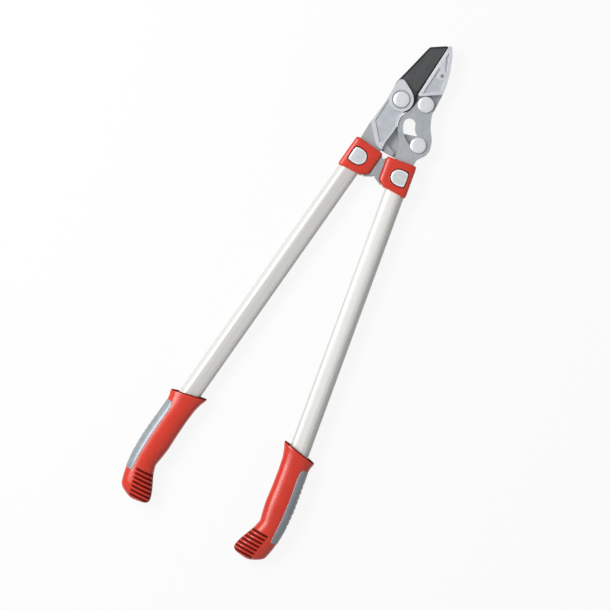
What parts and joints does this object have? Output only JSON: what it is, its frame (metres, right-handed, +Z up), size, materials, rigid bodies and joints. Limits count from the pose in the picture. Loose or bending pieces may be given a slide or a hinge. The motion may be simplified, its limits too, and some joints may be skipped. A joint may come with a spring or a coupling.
{
  "type": "anvil lopper",
  "caption": "Long-handled anvil lopper with a coated blade, a swinging anvil jaw, a slotted compound lever on a cam pin, oval aluminium tubes and bent two-tone grips.",
  "frame": {"origin": "main pivot axis, at the floor that the tool lies on", "axes": "+Y towards the jaws along the line midway between the closed handles, +Z up through the front face"},
  "size_m": [0.2364, 0.7516, 0.0308],
  "materials": {
    "blade_coating": "dark low-friction coating, satin",
    "cast_silver": "fine cast, silver lacquer",
    "lever_steel": "grey satin",
    "polished_steel": "turned and polished",
    "zinc_steel": "zinc plated",
    "bronze": "plain bearing bronze",
    "soft_strip": "soft alloy, milled",
    "satin_aluminium": "satin anodised",
    "red_plastic": "smooth moulded",
    "cap_silver": "satin silver",
    "grey_rubber": "matt moulded",
    "pad_rubber": "matt soft grip"
  },
  "bodies": {
    "blade_handle": {"blade": "blade_coating", "blade_lever": "cast_silver", "blade_screw": "zinc_steel", "main_pivot_bolt": "polished_steel", "main_pivot_washer": "zinc_steel", "main_pivot_nut": "zinc_steel", "cam_pin": "polished_steel", "cam_sleeve": "bronze", "cam_nut": "zinc_steel", "left_tube": "satin_aluminium", "left_tube_rivet": "zinc_steel", "left_collar": "red_plastic", "left_collar_caps": "cap_silver", "left_bumper": "grey_rubber", "left_grip": "red_plastic", "left_grip_pad": "pad_rubber"},
    "anvil": {"anvil_jaw": "cast_silver", "anvil_strip": "soft_strip", "anvil_screw": "zinc_steel", "anvil_bush": "bronze", "link_pivot_bolt": "polished_steel", "link_pivot_nut": "zinc_steel"},
    "slotted_handle": {"slotted_lever": "lever_steel", "lever_bush": "bronze", "right_tube": "satin_aluminium", "right_tube_rivet": "zinc_steel", "right_collar": "red_plastic", "right_collar_caps": "cap_silver", "right_bumper": "grey_rubber", "right_grip": "red_plastic", "right_grip_pad": "pad_rubber"}
  },
  "joints": [
    {"name": "anvil_swing", "type": "hinge", "parent": "blade_handle", "child": "anvil", "pos_m": [0, 0, 0.0153], "axis": [0, 0, -1], "range_deg": [0, 46]},
    {"name": "handle_swing", "type": "hinge", "parent": "anvil", "child": "slotted_handle", "pos_m": [0.033, 0.0092, 0.0153], "axis": [0, 0, 1], "range_deg": [0, 94.3]}
  ],
  "couplings": [
    {"joint": "anvil_swing", "follows": "handle_swing", "ratio": 0.4878}
  ]
}
